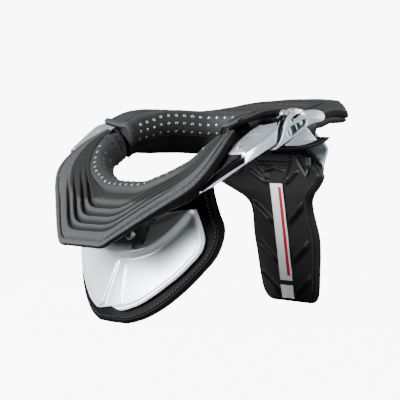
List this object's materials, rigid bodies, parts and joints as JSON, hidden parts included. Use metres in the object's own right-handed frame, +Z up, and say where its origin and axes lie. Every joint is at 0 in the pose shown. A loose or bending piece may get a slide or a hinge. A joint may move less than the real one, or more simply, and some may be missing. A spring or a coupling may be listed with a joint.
{
  "type": "neck brace",
  "caption": "Rigid neck brace with padded ribbed decks, a padded collar ring, a chest plate, a back strut, side arms and latch levers that let it open.",
  "frame": {"origin": "middle of the bounding box in X and Y, on the floor that the chest pad and back pad stand on", "axes": "+Z up, -Y the way the wearer faces, +X the wearer's left"},
  "size_m": [0.273, 0.3088, 0.2125],
  "materials": {
    "deck_fabric": "ribbed sewn fabric over foam",
    "collar_fabric": "smooth padded fabric with small dots",
    "black_padding": "embossed black padding",
    "black_plastic": "satin black moulding",
    "silver_shell": "satin silver moulding",
    "woven_panel": "dark woven insert",
    "bright_cap": "bright polished",
    "screw_metal": "plated steel",
    "label_cloth": "plain light label cloth",
    "grey_strap": "grey rubbery strap"
  },
  "bodies": {
    "rear_half": {"rear_table_pad": "deck_fabric", "rear_frame": "black_plastic", "rear_collar": "collar_fabric", "back_shell": "silver_shell", "back_pad": "black_padding", "label_strip": "label_cloth", "label_tag": "label_cloth", "housing_left": "silver_shell", "housing_right": "silver_shell", "housing_cap_left": "bright_cap", "housing_cap_right": "bright_cap", "latch_boss_left": "black_plastic", "latch_boss_right": "black_plastic", "pin_screw_left": "screw_metal", "pin_screw_right": "screw_metal", "shoulder_pad_left": "black_padding", "shoulder_pad_right": "black_padding", "collar_strap_left": "grey_strap", "collar_strap_right": "grey_strap", "wing_strap_left": "grey_strap", "wing_strap_right": "grey_strap", "wing_tab_left": "grey_strap", "wing_tab_right": "grey_strap"},
    "front_half": {"front_table_pad": "deck_fabric", "front_frame": "black_plastic", "front_collar": "collar_fabric", "chest_plate": "silver_shell", "chest_pad": "black_padding", "chest_bracket": "black_plastic", "chest_bolt_left": "black_plastic", "chest_bolt_right": "black_plastic", "bracket_peg_left": "black_plastic", "bracket_peg_right": "black_plastic", "arm_left": "silver_shell", "arm_right": "silver_shell", "arm_panel_left": "woven_panel", "arm_panel_right": "woven_panel", "arm_screw_left": "screw_metal", "arm_screw_right": "screw_metal"},
    "lever_left": {"lever_left": "silver_shell"},
    "lever_right": {"lever_right": "silver_shell"}
  },
  "joints": [
    {"name": "front_half_swing", "type": "hinge", "parent": "rear_half", "child": "front_half", "pos_m": [-0.112, -0.00185, 0.17], "axis": [0, 0, 1], "range_deg": [-50, 0]},
    {"name": "lever_left_swing", "type": "hinge", "parent": "rear_half", "child": "lever_left", "pos_m": [0.125, -0.03185, 0.168], "axis": [0, 0.67, 0.7424], "range_deg": [-50, 0]},
    {"name": "lever_right_swing", "type": "hinge", "parent": "rear_half", "child": "lever_right", "pos_m": [-0.125, -0.03185, 0.168], "axis": [0, 0.67, 0.7424], "range_deg": [0, 50]}
  ]
}
